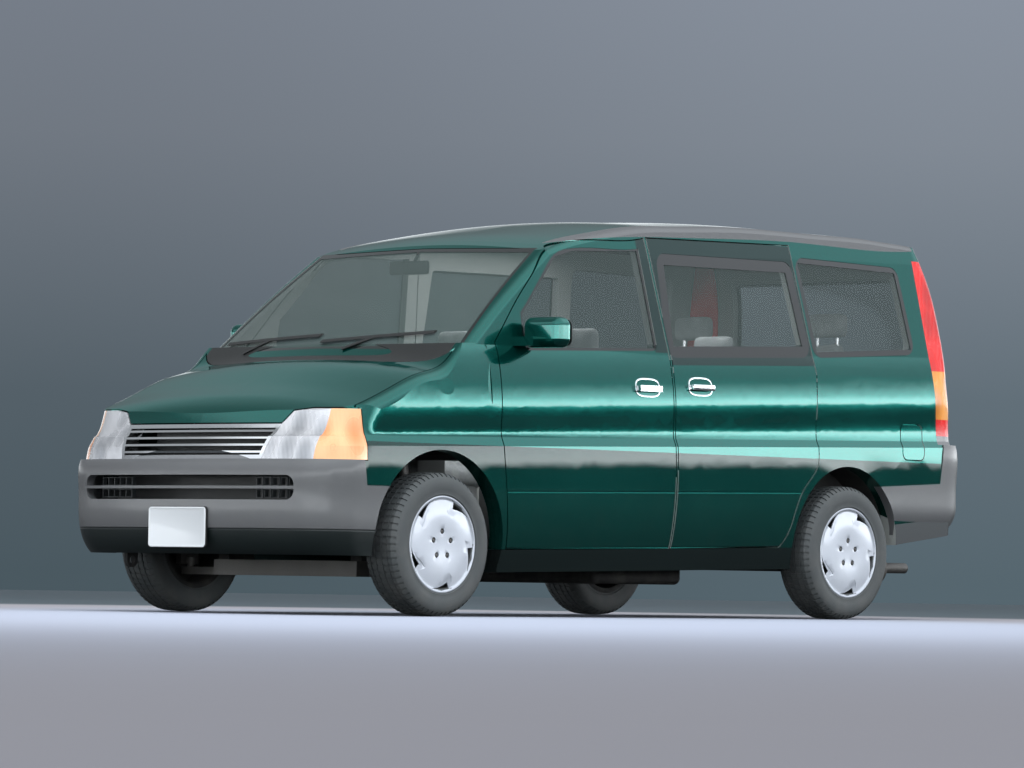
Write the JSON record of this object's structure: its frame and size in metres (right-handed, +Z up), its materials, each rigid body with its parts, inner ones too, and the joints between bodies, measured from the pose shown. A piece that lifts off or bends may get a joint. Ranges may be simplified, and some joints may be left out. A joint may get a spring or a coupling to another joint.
{
  "type": "minivan",
  "caption": "Passenger minivan with hinged front doors, one sliding side door, lifting tailgate and hood, steered front wheels and a three-row cabin.",
  "frame": {"origin": "on the ground, under the middle of the body's length and width", "axes": "+X to the vehicle's left, -Y forward, +Z up"},
  "size_m": [2.009, 4.6068, 1.8302],
  "materials": {
    "body_paint": "metallic green paint",
    "bumper_paint": "grey painted plastic",
    "black_trim": "grained",
    "chrome": "bright",
    "glass": "clear tinted",
    "lamp_clear": "ribbed",
    "lamp_amber": "ribbed",
    "lamp_red": "ribbed",
    "tyre": "rubber",
    "wheel": "silver paint",
    "steel": "raw",
    "under_metal": "dull black",
    "engine": "cast",
    "plate": "blank",
    "seat_cloth": "woven",
    "cabin_plastic": "grained"
  },
  "bodies": {
    "body": {"benches": "seat_cloth", "body_shell": "body_paint", "cowl": "black_trim", "dashboard": "cabin_plastic", "door_slide": "body_paint", "engine_block": "engine", "exhaust": "steel", "fenders": "body_paint", "floor_pan": "under_metal", "front_bumper": "bumper_paint", "front_frame": "under_metal", "front_seats": "seat_cloth", "front_suspension": "steel", "fuel_tank": "under_metal", "grille": "chrome", "handle_slide": "chrome", "headlamps": "lamp_clear", "load_board": "cabin_plastic", "number_plate": "plate", "radiator": "black_trim", "rear_axle": "steel", "rear_bumper": "bumper_paint", "roof_mouldings": "bumper_paint", "roof_panel": "body_paint", "side_glasses": "glass", "sills": "body_paint", "slide_rail": "black_trim", "tail_lamps": "lamp_red", "turn_signals": "lamp_amber", "windshield": "glass", "wipers": "black_trim"},
    "door_front_left": {"door_front_left": "body_paint", "glass_front_left": "glass", "handle_front_left": "chrome", "mirror_left": "body_paint"},
    "door_front_right": {"door_front_right": "body_paint", "glass_front_right": "glass", "handle_front_right": "chrome", "mirror_right": "body_paint"},
    "hood": {"hood": "body_paint"},
    "tailgate": {"tailgate": "body_paint", "tailgate_glass": "glass"},
    "fuel_lid": {"fuel_lid": "body_paint"},
    "knuckle_left": {"knuckle_left": "steel"},
    "knuckle_right": {"knuckle_right": "steel"},
    "wheel_front_left": {"wheel_front_left": "wheel", "tyre_front_left": "tyre"},
    "wheel_front_right": {"wheel_front_right": "wheel", "tyre_front_right": "tyre"},
    "wheel_rear_left": {"wheel_rear_left": "wheel", "tyre_rear_left": "tyre"},
    "wheel_rear_right": {"wheel_rear_right": "wheel", "tyre_rear_right": "tyre"},
    "steering_wheel": {"steering_wheel": "cabin_plastic"}
  },
  "joints": [
    {"name": "door_left_hinge", "type": "hinge", "parent": "body", "child": "door_front_left", "pos_m": [0.83471, -1.1416, 0.7], "axis": [0, 0, -1], "range_deg": [0, 65]},
    {"name": "door_right_hinge", "type": "hinge", "parent": "body", "child": "door_front_right", "pos_m": [-0.83471, -1.1416, 0.7], "axis": [0, 0, 1], "range_deg": [0, 65]},
    {"name": "hood_hinge", "type": "hinge", "parent": "body", "child": "hood", "pos_m": [0, -1.38, 1.155], "axis": [-1, 0, 0], "range_deg": [0, 50]},
    {"name": "tailgate_hinge", "type": "hinge", "parent": "body", "child": "tailgate", "pos_m": [0, 2.0418, 1.749], "axis": [1, 0, 0], "range_deg": [0, 85]},
    {"name": "fuel_lid_hinge", "type": "hinge", "parent": "body", "child": "fuel_lid", "pos_m": [0.8204, 1.697, 0.838], "axis": [0, 0, -1], "range_deg": [0, 80]},
    {"name": "steer_left", "type": "hinge", "parent": "body", "child": "knuckle_left", "pos_m": [0.69, -1.5225, 0.19], "axis": [-0.2067, 0, 0.9784], "range_deg": [-33, 33]},
    {"name": "steer_right", "type": "hinge", "parent": "body", "child": "knuckle_right", "pos_m": [-0.69, -1.5225, 0.19], "axis": [0.2067, 0, 0.9784], "range_deg": [-33, 33]},
    {"name": "steering_wheel_turn", "type": "hinge", "parent": "body", "child": "steering_wheel", "pos_m": [-0.37002, -0.69996, 0.97905], "axis": [0, 0.8192, 0.5736], "range_deg": [-495, 495]},
    {"name": "wheel_front_left_spin", "type": "hinge", "parent": "knuckle_left", "child": "wheel_front_left", "pos_m": [0.741, -1.5225, 0.31], "axis": [1, 0, 0], "continuous": true},
    {"name": "wheel_front_right_spin", "type": "hinge", "parent": "knuckle_right", "child": "wheel_front_right", "pos_m": [-0.741, -1.5225, 0.31], "axis": [1, 0, 0], "continuous": true},
    {"name": "wheel_rear_left_spin", "type": "hinge", "parent": "body", "child": "wheel_rear_left", "pos_m": [0.741, 1.2775, 0.31], "axis": [1, 0, 0], "continuous": true},
    {"name": "wheel_rear_right_spin", "type": "hinge", "parent": "body", "child": "wheel_rear_right", "pos_m": [-0.741, 1.2775, 0.31], "axis": [1, 0, 0], "continuous": true}
  ],
  "couplings": [
    {"joint": "steer_right", "follows": "steer_left", "ratio": 1},
    {"joint": "steering_wheel_turn", "follows": "steer_left", "ratio": 15}
  ]
}
